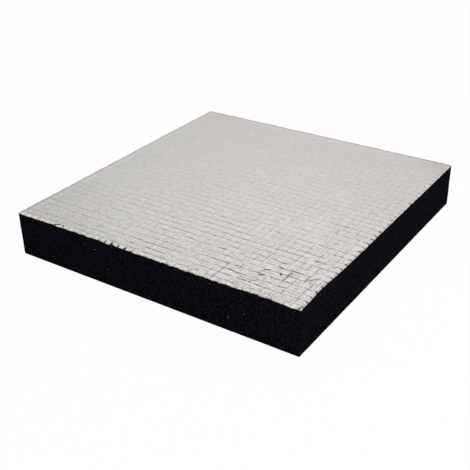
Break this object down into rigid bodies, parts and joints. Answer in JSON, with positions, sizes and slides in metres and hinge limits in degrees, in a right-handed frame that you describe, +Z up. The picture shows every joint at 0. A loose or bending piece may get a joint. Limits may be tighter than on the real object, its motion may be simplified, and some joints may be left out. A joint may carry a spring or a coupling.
{
  "type": "foil-faced polyester acoustic panel",
  "caption": "Square-edged slab of black polyester sound absorber, with a thread-reinforced metallised film bonded over its whole top face.",
  "frame": {"origin": "centre of the underside, the face that is bonded in place", "axes": "+X along the length, +Y along the width, +Z up out of the silver facing"},
  "size_m": [0.35, 0.34, 0.05],
  "materials": {
    "polyester_core": "matt black, fine and even, cut with a blade",
    "foil_facing": "satin metallised film with a raised net of reinforcing threads"
  },
  "bodies": {
    "root": {"polyester_core": "polyester_core", "foil_facing": "foil_facing"}
  },
  "joints": []
}
